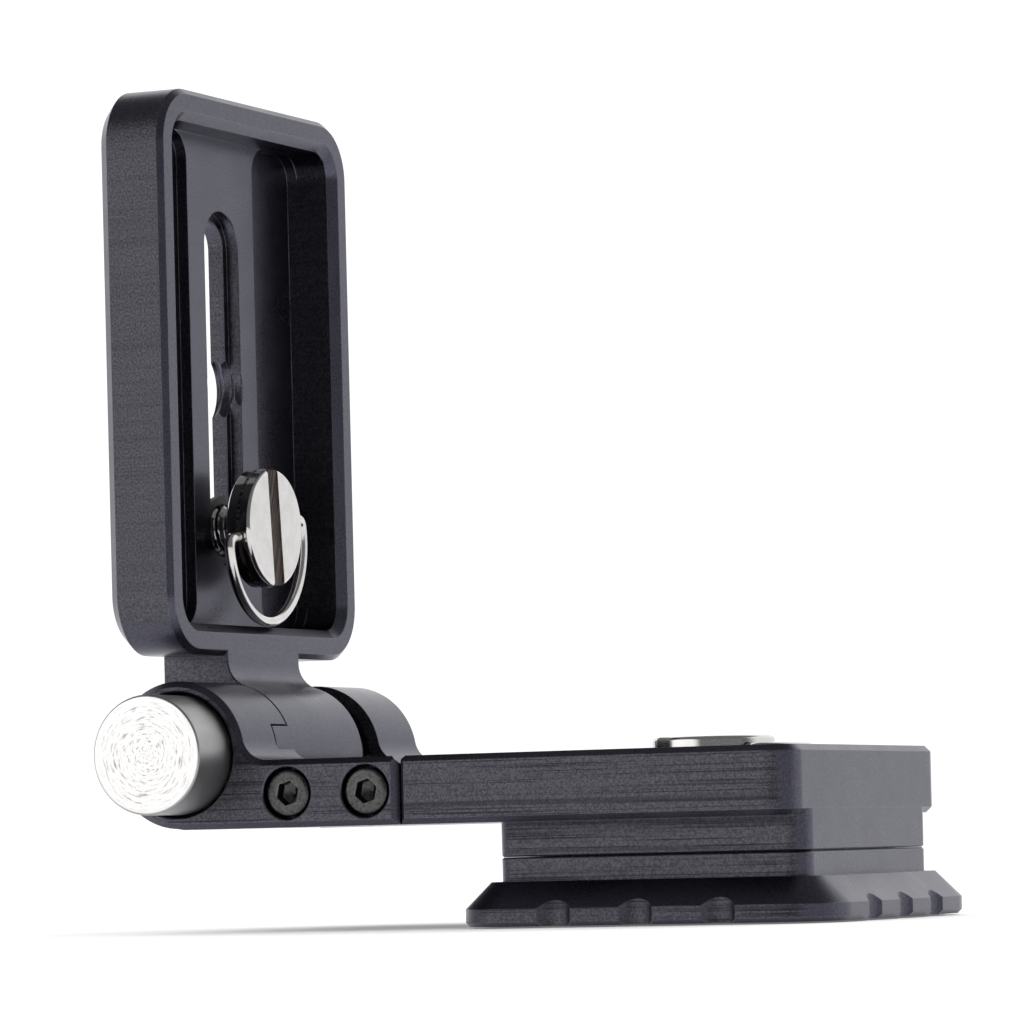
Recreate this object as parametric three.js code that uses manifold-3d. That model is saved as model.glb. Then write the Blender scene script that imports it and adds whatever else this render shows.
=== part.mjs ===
// Folding swivel bracket for camera and lighting gear.
//
// A long arm stands on a dovetail foot plate and carries a push-button hinge at
// its free end. An upright tray with a slot and a captive D-ring screw folds on
// that hinge. A second D-ring screw holds the foot plate under the arm.
//
// Units are millimetres. +X runs along the arm away from the hinge, +Y runs
// along the hinge axis away from the button, +Z is up. The origin is the centre
// of the foot plate's underside.

import * as THREE from 'three';
import * as BufferGeometryUtils from 'three/addons/utils/BufferGeometryUtils.js';
import Module from 'manifold-3d';

const wasm = await Module();
wasm.setup();

// ---------------------------------------------------------------- dimensions

const GAP = 0.3; // between faces that meet
const PRESS_GAP = 0.05; // around pressed-in sleeves and pins
const RUN_GAP = 0.07; // around a shaft that turns or slides

// hinge
const HINGE_X = -58.8;
const HINGE_Z = 21;
const BARREL_R = 8.75;
const RELEASE_TRAVEL = 4.5;
const CLEAR_R = 9.35; // swept clearance round the knuckle

// arm, seen along the hinge axis, heights from the hinge axis
const ARM_HALF_WIDTH = 24.4;
const ARM_TOP = HINGE_Z - 0.87;
const ARM_BOTTOM = HINGE_Z - 8.88;
const ARM_END = HINGE_X + 78.1;
const ARM_CORNER_R = 3.5;
const ARM_CHAMFER = 0.7;
const EAR_FILLET_R = 3.1;

// front cheek and the knuckle between the ears, places along the hinge axis
const CHEEK_INNER = -11.25;
const CHEEK_END = HINGE_X + 28.9;
const GROOVE = 0.85;
const KNUCKLE_FRONT = -10.95;
const KNUCKLE_REAR = 8.2;
const REAR_EAR_FRONT = 13;
const CAP_SEAT = 23.1;

// stop tooth on the knuckle and the recess for it in the cheek
const TOOTH_FRONT = -15.05;
const TOOTH_INNER_R = 6;
const TOOTH_TOP = 22.4;
const TOOTH_BOTTOM = -40;
const RECESS_FLOOR = -15.35;
const RECESS_INNER_R = 5.75;
const RECESS_TOP = 24;
const RECESS_BOTTOM = -140;

// riser block under the arm, and the foot plate
const BLOCK_X0 = HINGE_X + 39.4;
const BLOCK_HALF_WIDTH = 20.4;
const BLOCK_CORNER_R = 2.55;
const SEAM_Z = 8;
const SHOULDER_Z = 5.15;
const SHOULDER_STEP = 1.32;
const FLANK = 3.1;
const RIM_HEIGHT = 1.55;
const NOTCH_PITCH = 10.2;
const NOTCH_R = 2.9;
const NOTCH_DEPTH = 0.9;

// tray
const TRAY_FRONT = HINGE_X + 0.3;
const TRAY_BACK = HINGE_X - 8.5;
const TRAY_HALF_WIDTH = 25;
const TRAY_Z0 = HINGE_Z + 12.1;
const TRAY_Z1 = HINGE_Z + 79.7;
const TRAY_CORNER_R = 7;
const RIM_CHAMFER = 0.67;
const BACK_CHAMFER = 1.45;
const RIM_FLAT = 2.04;
const LIP_CHAMFER = 1.06;
const WALL = RIM_CHAMFER + RIM_FLAT + LIP_CHAMFER;
const PAD_DEPTH = 5.2;
const POCKET_DEPTH = 6.6;
const PAD_HALF_WIDTH = 8.7;
const POCKET_CORNER_R = 3.4;
const NECK_FILLET_R = 3.3;

// slot in the tray
const SLOT_Z0 = HINGE_Z + 23.5;
const SLOT_Z1 = HINGE_Z + 67;
const SLOT_HALF = 4.4;
const SLOT_STEP = 1;
const SLOT_STEP_DEPTH = 1.6;
const CENTRE_HOLE_R = 4.75;
const CENTRE_HOLE_Z = HINGE_Z + 45.6;
const CENTRE_PITCH = 1.59;

// the two D-ring screws
const HEAD_R = 7.25;
const HEAD_HEIGHT = 3.2;
const HEAD_BEVEL = 0.45;
const THREAD_R = 3.15;
const THREAD_ROOT_R = 2.65;
const THREAD_PITCH = 1.27;
const THREAD_TURNS = 5;
const COIN_WIDTH = 2.7;
const COIN_DEPTH = 1.5;
const WIRE_R = 0.675;
const RING_HALF_WIDTH = 9.9;
const RING_DROP = 11.4;
const PIVOT_DEPTH = 1.9;
const TRAY_SCREW_FACE = HINGE_X + 1.73;
const TRAY_SCREW_Z = HINGE_Z + 27.9;
const TRAY_SCREW_TIP = HINGE_X - 10.3;
const PIVOT_TILT = 10;
const COIN_TILT = 5.3;
const ARM_SCREW_FACE = ARM_TOP + 1.5;
const ARM_SCREW_TIP = 1.9;
const ARM_RING_TURN = -34.5;
const ARM_RECESS_R = 12.6;
const ARM_RECESS_DEPTH = 2.6;
const WASHER_HEIGHT = 0.75;

// hinge inner parts
const SHAFT_R = 4;
const FLANGE_R = 5.6;
const SLEEVE_R = 5;
const BUTTON_R = 7.1;
const BUTTON_FACE = -31.9;
const BUTTON_INNER = -21.8;
const BUTTON_BORE_R = 7.45;
const BUTTON_BORE_FLOOR = -17;
const BUTTON_SOCKET = -28.1;
const SHAFT_FRONT = -27.9;
const SHAFT_REAR = 18.4;
const SPRING_BORE_R = 7.4;
const SPRING_SEAT_FRONT = 2.3;
const SPRING_SEAT_REAR = 16.5;
const SPRING_R = 5.95;
const SPRING_WIRE_R = 0.55;
const SPRING_TURNS = 5;
const CROSS_PIN_Y = -23;

// cheek fasteners
const CAP_SCREW_X = [HINGE_X + 14.5, HINGE_X + 24.7];
const CAP_SCREW_Z = HINGE_Z - 4.85;
const CAP_HEAD_R = 2.75;
const CAP_HEAD_HEIGHT = 3;
const COUNTERBORE_R = 3.1;
const COUNTERBORE_DEPTH = 3.35;
const M3_R = 1.5;
const HEX_ACROSS = 2.5;
const DOWEL_R = 1.25;
const CHEEK_DOWEL_X = [HINGE_X + 11.6, HINGE_X + 19.6];
const FOOT_DOWEL_X = [-15, 15];

// ------------------------------------------------------------------ materials

function metal(colour, roughness, metalness) {
  return new THREE.MeshStandardMaterial({ color: colour, roughness, metalness });
}

const blackAnodised = metal(0x26262c, 0.42, 0.65);
const polishedSteel = metal(0xd8d8da, 0.16, 1);
const turnedSteel = metal(0xe2e2e4, 0.28, 1);
const blackSteel = metal(0x3a3a3c, 0.38, 0.9);
const bronze = metal(0xa98246, 0.4, 1);
const springSteel = metal(0x8d8f92, 0.3, 1);
const whiteNylon = metal(0xdedcd2, 0.6, 0);

// ------------------------------------------------------- solids and booleans

// Turns a closed three.js geometry into a manifold solid, whatever way its
// faces wind, and leaves out the slivers at the poles of turned profiles.
function solid(geometry) {
  const bare = geometry.clone();
  for (const name of Object.keys(bare.attributes)) {
    if (name !== 'position') bare.deleteAttribute(name);
  }
  const merged = BufferGeometryUtils.mergeVertices(bare, 1e-4);
  const position = merged.attributes.position;
  const index = merged.index.array;
  const a = new THREE.Vector3();
  const b = new THREE.Vector3();
  const c = new THREE.Vector3();
  const triangles = [];
  let volume = 0;
  for (let i = 0; i < index.length; i += 3) {
    const [p, q, r] = [index[i], index[i + 1], index[i + 2]];
    if (p === q || q === r || r === p) continue;
    a.fromBufferAttribute(position, p);
    b.fromBufferAttribute(position, q);
    c.fromBufferAttribute(position, r);
    volume += a.dot(b.cross(c));
    triangles.push(p, q, r);
  }
  if (volume < 0) {
    for (let i = 0; i < triangles.length; i += 3) {
      [triangles[i], triangles[i + 1]] = [triangles[i + 1], triangles[i]];
    }
  }
  return new wasm.Manifold(new wasm.Mesh({
    numProp: 3,
    vertProperties: new Float32Array(position.array),
    triVerts: new Uint32Array(triangles),
  }));
}

function join(first, ...others) {
  return others.reduce((sum, part) => sum.add(part), first);
}

function cut(body, ...tools) {
  return tools.reduce((rest, tool) => rest.subtract(tool), body);
}

function piece(name, body, material) {
  const { vertProperties, triVerts } = body.getMesh();
  const geometry = new THREE.BufferGeometry();
  geometry.setAttribute('position', new THREE.BufferAttribute(new Float32Array(vertProperties), 3));
  geometry.setIndex(new THREE.BufferAttribute(new Uint32Array(triVerts), 1));
  geometry.computeVertexNormals();
  const mesh = new THREE.Mesh(geometry, material);
  mesh.name = name;
  return mesh;
}

// ------------------------------------------------------------- basic shapes

function block(x0, x1, y0, y1, z0, z1) {
  const geometry = new THREE.BoxGeometry(x1 - x0, y1 - y0, z1 - z0);
  geometry.translate((x0 + x1) / 2, (y0 + y1) / 2, (z0 + z1) / 2);
  return solid(geometry);
}

// An extrusion of a flat shape, chamfered at either end. It runs from 0 to
// length along its own z axis.
function slab(shape, length, lowChamfer = 0, highChamfer = 0, arcSteps = 5) {
  function bevelled(chamfer, from, to) {
    const geometry = new THREE.ExtrudeGeometry(shape, {
      depth: to - from - 2 * chamfer,
      bevelEnabled: chamfer > 0,
      bevelThickness: chamfer,
      bevelSize: chamfer,
      bevelOffset: -chamfer,
      bevelSegments: 1,
      curveSegments: arcSteps,
    });
    geometry.translate(0, 0, from + chamfer);
    return solid(geometry);
  }
  if (lowChamfer === highChamfer) return bevelled(lowChamfer, 0, length);
  const spare = 2 * (lowChamfer + highChamfer);
  const low = bevelled(lowChamfer, 0, length + spare);
  const high = bevelled(highChamfer, -spare, length);
  return low.intersect(high);
}

// Manifold transforms are column-major 4 by 4 matrices.
function placed(body, xAxis, yAxis, zAxis, at) {
  const matrix = new THREE.Matrix4().makeBasis(xAxis, yAxis, zAxis);
  matrix.setPosition(at);
  return body.transform(matrix.elements);
}

const X = new THREE.Vector3(1, 0, 0);
const Y = new THREE.Vector3(0, 1, 0);
const Z = new THREE.Vector3(0, 0, 1);

// Slabs of a shape drawn in (y, z), in (x, z) and in (x, y).
function slabX(shape, x0, x1, lowChamfer, highChamfer, arcSteps) {
  const body = slab(shape, x1 - x0, lowChamfer, highChamfer, arcSteps);
  return placed(body, Y, Z, X, new THREE.Vector3(x0, 0, 0));
}

function slabY(shape, y0, y1, frontChamfer, rearChamfer, arcSteps) {
  const body = slab(shape, y1 - y0, rearChamfer, frontChamfer, arcSteps);
  return placed(body, X, Z, Y.clone().negate(), new THREE.Vector3(0, y1, 0));
}

function slabZ(shape, z0, z1, lowChamfer, highChamfer, arcSteps) {
  const body = slab(shape, z1 - z0, lowChamfer, highChamfer, arcSteps);
  return placed(body, X, Y, Z, new THREE.Vector3(0, 0, z0));
}

function roundedRectangle(x0, x1, y0, y1, radius) {
  const shape = new THREE.Shape();
  const quarter = Math.PI / 2;
  shape.absarc(x1 - radius, y0 + radius, radius, -quarter, 0);
  shape.absarc(x1 - radius, y1 - radius, radius, 0, quarter);
  shape.absarc(x0 + radius, y1 - radius, radius, quarter, 2 * quarter);
  shape.absarc(x0 + radius, y0 + radius, radius, 2 * quarter, 3 * quarter);
  return shape;
}

// Turned pieces: a profile of [radius, height] pairs spun about an axis.
function turned(profile, axis, at, steps = 32) {
  const points = profile.map(([radius, height]) => new THREE.Vector2(radius, height));
  const body = solid(new THREE.LatheGeometry(points, steps));
  const frames = { x: [Y, X, Z], y: [Z, Y, X], z: [X, Z, Y] };
  const [first, along, last] = frames[axis];
  const flip = first.clone().cross(along).dot(last) < 0 ? -1 : 1;
  return placed(body, first.clone().multiplyScalar(flip), along, last, at);
}

function rod(axis, radius, from, to, u, v, steps = 32) {
  const profile = [[0, from], [radius, from], [radius, to], [0, to]];
  return turned(profile, axis, axisPoint(axis, u, v), steps);
}

function tube(axis, inner, outer, from, to, u, v, steps = 32) {
  const profile = [[inner, from], [outer, from], [outer, to], [inner, to], [inner, from]];
  return turned(profile, axis, axisPoint(axis, u, v), steps);
}

// The point where an axis crosses the plane of the other two coordinates,
// given in X, Y, Z order.
function axisPoint(axis, u, v) {
  if (axis === 'x') return new THREE.Vector3(0, u, v);
  if (axis === 'y') return new THREE.Vector3(u, 0, v);
  return new THREE.Vector3(u, v, 0);
}

function hingeRod(radius, from, to, steps) {
  return rod('y', radius, from, to, HINGE_X, HINGE_Z, steps);
}

function hingeTube(inner, outer, from, to, steps) {
  return tube('y', inner, outer, from, to, HINGE_X, HINGE_Z, steps);
}

// A length of the ring between two radii and two angles about the hinge axis.
// Angles are in degrees from +X towards +Z.
function hingeSector(inner, outer, low, high, from, to) {
  const shape = new THREE.Shape();
  const a = THREE.MathUtils.degToRad(low);
  const b = THREE.MathUtils.degToRad(high);
  shape.absarc(HINGE_X, HINGE_Z, outer, a, b, false);
  shape.absarc(HINGE_X, HINGE_Z, inner, b, a, true);
  return slabY(shape, from, to, 0, 0, 16);
}

// ------------------------------------------------------------ arm and cheek

// The side view of the barrel running into the arm, with a hollow fillet on top.
function earProfile() {
  const filletZ = ARM_TOP + EAR_FILLET_R;
  const rise = filletZ - HINGE_Z;
  const reach = BARREL_R + EAR_FILLET_R;
  const filletX = HINGE_X + Math.sqrt(reach * reach - rise * rise);
  const lift = Math.atan2(rise, filletX - HINGE_X);
  const shape = new THREE.Shape();
  shape.moveTo(CHEEK_END + 3, ARM_BOTTOM);
  shape.lineTo(CHEEK_END + 3, ARM_TOP);
  shape.absarc(filletX, filletZ, EAR_FILLET_R, -Math.PI / 2, -Math.PI + lift, true);
  shape.absarc(HINGE_X, HINGE_Z, BARREL_R, lift, 1.5 * Math.PI - 0.05, false);
  shape.lineTo(HINGE_X + 0.5, ARM_BOTTOM);
  return shape;
}

// Arm and cheek are cut from one blank, so their outlines run on across the
// split between them.
function armBlank() {
  const ears = slabY(earProfile(), -ARM_HALF_WIDTH, ARM_HALF_WIDTH, ARM_CHAMFER, ARM_CHAMFER, 14);
  const outline = roundedRectangle(
    CHEEK_END - 6, ARM_END, -ARM_HALF_WIDTH, ARM_HALF_WIDTH, ARM_CORNER_R);
  const inner = block(
    CHEEK_END + 2, ARM_END + 1, -ARM_HALF_WIDTH - 1, ARM_HALF_WIDTH + 1, ARM_BOTTOM - 1, ARM_TOP + 1);
  const plate = slabZ(outline, ARM_BOTTOM, ARM_TOP, ARM_CHAMFER, ARM_CHAMFER, 4).intersect(inner);
  return join(ears, plate);
}

// The shallow V round the split between cheek and arm.
function splitGroove() {
  const middle = (ARM_TOP + ARM_BOTTOM) / 2;
  const half = (ARM_TOP - ARM_BOTTOM) / 2;
  const vee = new THREE.Shape();
  vee.moveTo(CHEEK_END - GROOVE - 1, -1);
  vee.lineTo(CHEEK_END + GROOVE + 1, -1);
  vee.lineTo(CHEEK_END, GROOVE);
  const front = placed(
    slab(vee, 2 * half + 2), X, Y, Z, new THREE.Vector3(0, -ARM_HALF_WIDTH, middle - half - 1));
  const low = slab(vee, ARM_HALF_WIDTH + CHEEK_INNER);
  const top = placed(
    low, X, Z.clone().negate(), Y, new THREE.Vector3(0, -ARM_HALF_WIDTH, ARM_TOP));
  return join(front, top);
}

function cheekRegion(gap) {
  return block(
    HINGE_X - 20, CHEEK_END + gap, -ARM_HALF_WIDTH - 5, CHEEK_INNER + gap, HINGE_Z - 20, HINGE_Z + 20);
}

function capScrewHoles(radius, from, to) {
  return CAP_SCREW_X.map((x) => rod('y', radius, from, to, x, CAP_SCREW_Z, 24));
}

function dowelHoles(from, to) {
  return CHEEK_DOWEL_X.map((x) => rod('y', DOWEL_R + PRESS_GAP, from, to, x, CAP_SCREW_Z + 2.2, 16));
}

function armBody() {
  const riserOutline = roundedRectangle(
    BLOCK_X0, ARM_END, -BLOCK_HALF_WIDTH, BLOCK_HALF_WIDTH, BLOCK_CORNER_R);
  const riser = slabZ(riserOutline, SEAM_Z + GAP / 2, ARM_BOTTOM + 1, 0.2, 0, 4);
  const knuckleSpace = join(
    hingeRod(CLEAR_R, CHEEK_INNER - 1, REAR_EAR_FRONT, 64),
    block(HINGE_X - 12, HINGE_X + 6, CHEEK_INNER - 1, REAR_EAR_FRONT, 0, HINGE_Z),
    block(HINGE_X - 12, HINGE_X + 13, CHEEK_INNER - 1, REAR_EAR_FRONT, ARM_TOP, HINGE_Z + 12));
  return cut(
    join(armBlank(), riser),
    splitGroove(),
    cheekRegion(GAP),
    knuckleSpace,
    hingeRod(SPRING_BORE_R, REAR_EAR_FRONT - 1, SPRING_SEAT_REAR, 40),
    hingeRod(SLEEVE_R + PRESS_GAP, SPRING_SEAT_REAR - 1, CAP_SEAT + 1, 32),
    hingeRod(FLANGE_R + PRESS_GAP, CAP_SEAT, ARM_HALF_WIDTH + 1, 32),
    rod('z', ARM_RECESS_R, ARM_TOP - ARM_RECESS_DEPTH, ARM_TOP + 1, 0, 0, 64),
    rod('z', THREAD_R + 0.35, SEAM_Z - 1, ARM_TOP, 0, 0, 32),
    ...capScrewHoles(M3_R + 0.1, CHEEK_INNER - 1, CHEEK_INNER + 9.5),
    ...dowelHoles(CHEEK_INNER - 1, CHEEK_INNER + 5.5),
    ...FOOT_DOWEL_X.map((x) => rod('z', DOWEL_R + PRESS_GAP, SEAM_Z - 1, SEAM_Z + 4.2, x, 0, 16)));
}

function frontCheek() {
  const head = -ARM_HALF_WIDTH;
  return cut(
    armBlank().intersect(cheekRegion(0)),
    splitGroove(),
    hingeRod(BUTTON_BORE_R, head - 1, BUTTON_BORE_FLOOR, 64),
    hingeRod(SLEEVE_R + PRESS_GAP, BUTTON_BORE_FLOOR - 1, CHEEK_INNER + 1, 32),
    hingeSector(RECESS_INNER_R, BARREL_R + GAP, RECESS_BOTTOM, RECESS_TOP, RECESS_FLOOR, CHEEK_INNER + 1),
    ...capScrewHoles(COUNTERBORE_R, head - 1, head + COUNTERBORE_DEPTH),
    ...capScrewHoles(M3_R + 0.15, head, CHEEK_INNER + 1),
    ...dowelHoles(CHEEK_INNER - 4.5, CHEEK_INNER + 1));
}

// A socket cap screw lies along the hinge axis with its head in the cheek.
function capScrew(x) {
  const seat = -ARM_HALF_WIDTH + COUNTERBORE_DEPTH - 0.1;
  const face = seat - CAP_HEAD_HEIGHT;
  const profile = [
    [0, face], [CAP_HEAD_R - 0.3, face], [CAP_HEAD_R, face + 0.3], [CAP_HEAD_R, seat],
    [M3_R, seat], [M3_R, seat + 17.6], [M3_R - 0.4, seat + 18], [0, seat + 18],
  ];
  const body = turned(profile, 'y', axisPoint('y', x, CAP_SCREW_Z), 24);
  const socket = new THREE.Shape();
  const cornerR = HEX_ACROSS / Math.sqrt(3);
  for (let i = 0; i < 6; i += 1) {
    const angle = THREE.MathUtils.degToRad(60 * i + 18);
    const u = x + cornerR * Math.cos(angle);
    const v = CAP_SCREW_Z + cornerR * Math.sin(angle);
    if (i === 0) socket.moveTo(u, v);
    else socket.lineTo(u, v);
  }
  return cut(body, slabY(socket, face - 1, face + 1.6));
}

function cheekDowel(x) {
  return rod('y', DOWEL_R, CHEEK_INNER - 4.2, CHEEK_INNER + 5.2, x, CAP_SCREW_Z + 2.2, 16);
}

// ----------------------------------------------------------------- foot plate

function footOutline(offset) {
  return roundedRectangle(
    BLOCK_X0 - offset, ARM_END + offset,
    -BLOCK_HALF_WIDTH - offset, BLOCK_HALF_WIDTH + offset, BLOCK_CORNER_R + offset);
}

// Vertical scallops, three to a side, cut the rim of the foot plate.
function rimNotches() {
  const notches = [];
  const reach = SHOULDER_STEP + FLANK + NOTCH_R - NOTCH_DEPTH;
  const middle = (BLOCK_X0 + ARM_END) / 2;
  const halfLength = (ARM_END - BLOCK_X0) / 2;
  for (const i of [-1, 0, 1]) {
    const step = i * NOTCH_PITCH;
    for (const side of [-1, 1]) {
      const y = side * (BLOCK_HALF_WIDTH + reach);
      const x = middle + side * (halfLength + reach);
      notches.push(rod('z', NOTCH_R, -1, SHOULDER_Z + 1, middle + step, y, 24));
      notches.push(rod('z', NOTCH_R, -1, SHOULDER_Z + 1, x, step, 24));
    }
  }
  return notches;
}

function footPlate() {
  const rimTop = SHOULDER_Z - FLANK;
  const flange = slabZ(footOutline(SHOULDER_STEP + FLANK), 0, SHOULDER_Z, rimTop - RIM_HEIGHT, FLANK, 5);
  const boss = slabZ(footOutline(0), SHOULDER_Z - 1, SEAM_Z - GAP / 2, 0, 0.2, 4);
  return cut(
    join(flange, boss),
    ...rimNotches(),
    rod('z', THREAD_R + 0.1, ARM_SCREW_TIP - 0.4, SEAM_Z + 1, 0, 0, 32),
    ...FOOT_DOWEL_X.map((x) => rod('z', DOWEL_R + PRESS_GAP, SEAM_Z - 4.2, SEAM_Z + 1, x, 0, 16)));
}

function footDowel(x) {
  return rod('z', DOWEL_R, SEAM_Z - 4, SEAM_Z + 4, x, 0, 16);
}

// ----------------------------------------------------------------------- tray

function trayOutline(inset) {
  return roundedRectangle(
    -TRAY_HALF_WIDTH + inset, TRAY_HALF_WIDTH - inset,
    TRAY_Z0 + inset, TRAY_Z1 - inset, TRAY_CORNER_R - inset);
}

function pocket() {
  const spare = 0.5;
  const lip = slabX(
    trayOutline(WALL - LIP_CHAMFER - spare), TRAY_FRONT - LIP_CHAMFER, TRAY_FRONT + 4,
    LIP_CHAMFER + spare, 0, 4);
  const padLevel = slabX(trayOutline(WALL), TRAY_FRONT - PAD_DEPTH, TRAY_FRONT + 1, 0, 0, 4);
  const wallY = TRAY_HALF_WIDTH - WALL;
  const sides = [-1, 1].map((side) => {
    const ys = [side * PAD_HALF_WIDTH, side * wallY].sort((p, q) => p - q);
    const outline = roundedRectangle(
      ys[0], ys[1], TRAY_Z0 + WALL, TRAY_Z1 - WALL, POCKET_CORNER_R);
    return slabX(outline, TRAY_FRONT - POCKET_DEPTH, TRAY_FRONT - 1, 0, 0, 4);
  });
  return join(lip, padLevel, ...sides);
}

function stadium(half, z0, z1) {
  return roundedRectangle(-half, half, z0, z1, half - 0.001);
}

function slot() {
  const padX = TRAY_FRONT - PAD_DEPTH;
  const inner = SLOT_HALF - SLOT_STEP;
  return join(
    slabX(stadium(SLOT_HALF, SLOT_Z0, SLOT_Z1), padX - SLOT_STEP_DEPTH, padX + 1, 0, 0, 8),
    slabX(stadium(inner, SLOT_Z0 + SLOT_STEP, SLOT_Z1 - SLOT_STEP), TRAY_BACK - 1, padX, 0, 0, 8));
}

// The tapped hole half way up the slot, with a few ridges for its thread.
function centreHole() {
  const profile = [[0, TRAY_BACK - 1], [CENTRE_HOLE_R - 0.3, TRAY_BACK - 1]];
  for (let x = TRAY_BACK; x < TRAY_FRONT - PAD_DEPTH; x += CENTRE_PITCH) {
    profile.push([CENTRE_HOLE_R - 0.3, x + 0.1]);
    profile.push([CENTRE_HOLE_R + 0.2, x + CENTRE_PITCH / 2]);
  }
  profile.push([CENTRE_HOLE_R - 0.3, TRAY_FRONT - PAD_DEPTH + 1], [0, TRAY_FRONT - PAD_DEPTH + 1]);
  return turned(profile, 'x', axisPoint('x', 0, CENTRE_HOLE_Z), 32);
}

// The side view of the knuckle's barrel running up into the tray's neck.
function neckProfile() {
  const filletX = TRAY_FRONT + NECK_FILLET_R;
  const reach = BARREL_R + NECK_FILLET_R;
  const run = filletX - HINGE_X;
  const filletZ = HINGE_Z + Math.sqrt(reach * reach - run * run);
  const lean = Math.atan2(filletZ - HINGE_Z, run);
  const neckTop = TRAY_Z0 + 2;
  const shape = new THREE.Shape();
  shape.moveTo(TRAY_FRONT, neckTop);
  shape.lineTo(TRAY_BACK, neckTop);
  const rear = Math.acos((TRAY_BACK - HINGE_X) / BARREL_R);
  shape.absarc(HINGE_X, HINGE_Z, BARREL_R, rear, 2 * Math.PI + lean, false);
  shape.absarc(filletX, filletZ, NECK_FILLET_R, lean + Math.PI, Math.PI, true);
  return shape;
}

function trayPiece() {
  const frame = slabX(trayOutline(0), TRAY_BACK, TRAY_FRONT, BACK_CHAMFER, RIM_CHAMFER, 5);
  const neck = slabY(neckProfile(), KNUCKLE_FRONT, KNUCKLE_REAR, 0.15, 0.15, 20);
  const tooth = hingeSector(
    TOOTH_INNER_R, BARREL_R, TOOTH_BOTTOM, TOOTH_TOP, TOOTH_FRONT, KNUCKLE_FRONT + 1);
  const flangeSeat = KNUCKLE_FRONT + 1.75;
  return cut(
    join(cut(join(frame, neck), pocket()), tooth),
    slot(),
    centreHole(),
    hingeRod(SLEEVE_R + PRESS_GAP, KNUCKLE_FRONT, KNUCKLE_REAR, 32),
    hingeRod(FLANGE_R + GAP, KNUCKLE_FRONT - 1, flangeSeat, 32),
    hingeRod(SPRING_BORE_R, SPRING_SEAT_FRONT, KNUCKLE_REAR + 1, 40));
}

// ---------------------------------------------------------------- hinge parts

function hingeShaft() {
  const flangeFront = KNUCKLE_FRONT + 0.1;
  const flangeRear = flangeFront + 1.5;
  const profile = [
    [0, SHAFT_FRONT], [SHAFT_R, SHAFT_FRONT], [SHAFT_R, flangeFront], [FLANGE_R, flangeFront],
    [FLANGE_R, flangeRear], [SHAFT_R, flangeRear], [SHAFT_R, SHAFT_REAR - 0.5],
    [SHAFT_R - 0.5, SHAFT_REAR], [0, SHAFT_REAR],
  ];
  const body = turned(profile, 'y', axisPoint('y', HINGE_X, HINGE_Z), 36);
  return cut(body, crossPinRod(PRESS_GAP, 20));
}

function crossPinRod(gap, halfLength) {
  return rod('x', 1 + gap, HINGE_X - halfLength, HINGE_X + halfLength, CROSS_PIN_Y, HINGE_Z, 16);
}

function releaseButton() {
  const body = turned([
    [0, BUTTON_FACE], [BUTTON_R - 0.35, BUTTON_FACE], [BUTTON_R, BUTTON_FACE + 0.35],
    [BUTTON_R, BUTTON_INNER - 0.3], [BUTTON_R - 0.3, BUTTON_INNER], [SHAFT_R + RUN_GAP, BUTTON_INNER],
    [SHAFT_R + RUN_GAP, BUTTON_SOCKET], [0, BUTTON_SOCKET],
  ], 'y', axisPoint('y', HINGE_X, HINGE_Z), 64);
  return cut(body, crossPinRod(PRESS_GAP, 20));
}

function sleeve(from, to) {
  return hingeTube(SHAFT_R + RUN_GAP, SLEEVE_R, from, to, 36);
}

function endCap() {
  const body = hingeRod(FLANGE_R, CAP_SEAT + PRESS_GAP, ARM_HALF_WIDTH - 0.2, 32);
  const holes = [-1, 1].map((side) => rod(
    'y', 0.7, ARM_HALF_WIDTH - 1, ARM_HALF_WIDTH + 1, HINGE_X + side * 3.4, HINGE_Z, 12));
  return cut(body, ...holes);
}

class SpringCurve extends THREE.Curve {
  getPoint(t, target = new THREE.Vector3()) {
    const angle = 2 * Math.PI * SPRING_TURNS * t;
    const from = SPRING_SEAT_FRONT + WASHER_HEIGHT + SPRING_WIRE_R + 0.2;
    const to = SPRING_SEAT_REAR - SPRING_WIRE_R - 0.1;
    return target.set(
      HINGE_X + SPRING_R * Math.cos(angle),
      from + (to - from) * t,
      HINGE_Z + SPRING_R * Math.sin(angle));
  }
}

function circleShape(radius, steps) {
  const shape = new THREE.Shape();
  for (let i = 0; i < steps; i += 1) {
    const angle = (2 * Math.PI * i) / steps;
    const u = radius * Math.cos(angle);
    const v = radius * Math.sin(angle);
    if (i === 0) shape.moveTo(u, v);
    else shape.lineTo(u, v);
  }
  return shape;
}

function wire(path, radius, sides, steps) {
  return solid(new THREE.ExtrudeGeometry(circleShape(radius, sides), {
    steps, bevelEnabled: false, extrudePath: path,
  }));
}

// -------------------------------------------------------------- D-ring screws

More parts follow.
